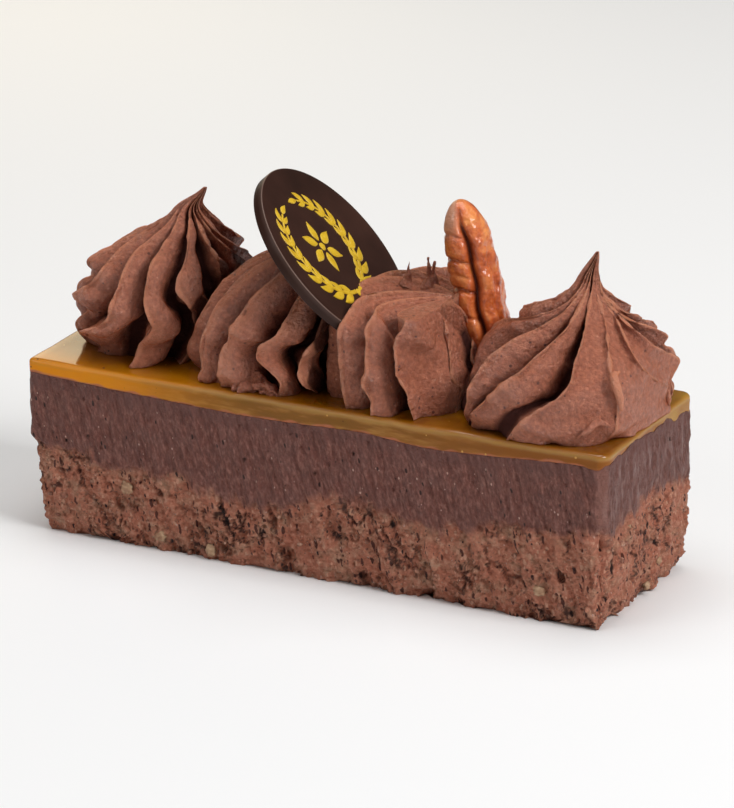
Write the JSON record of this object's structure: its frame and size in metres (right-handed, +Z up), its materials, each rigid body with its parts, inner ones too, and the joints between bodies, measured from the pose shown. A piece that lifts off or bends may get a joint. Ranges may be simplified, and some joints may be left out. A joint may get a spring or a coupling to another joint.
{
  "type": "chocolate cake slice",
  "caption": "Bar-shaped slice of layered chocolate cake: nut sponge, cream and fruit jelly, with piped rosettes, a leaning chocolate disc and a pecan half on top.",
  "frame": {"origin": "middle of the slice's underside, on the surface that it stands on", "axes": "+Z up; +X along the slice, towards the end with the tallest free-standing cone of cream beside it; the long front face looks towards -Y"},
  "size_m": [0.1113, 0.0364, 0.0667],
  "materials": {
    "sponge": "matt, crumbly nut sponge",
    "cream": "satin, cut chocolate cream",
    "jelly": "glossy, slightly translucent amber fruit jelly",
    "piped_cream": "satin, piped chocolate cream",
    "dark_chocolate": "glossy dark chocolate",
    "pecan": "glossy, glazed pecan"
  },
  "bodies": {
    "root": {"sponge_base": "sponge", "cream_layer": "cream", "jelly_top": "jelly", "rosette_1": "piped_cream", "rosette_2": "piped_cream", "rosette_3": "piped_cream", "rosette_4": "piped_cream", "chocolate_disc": "dark_chocolate", "pecan_half": "pecan"}
  },
  "joints": []
}
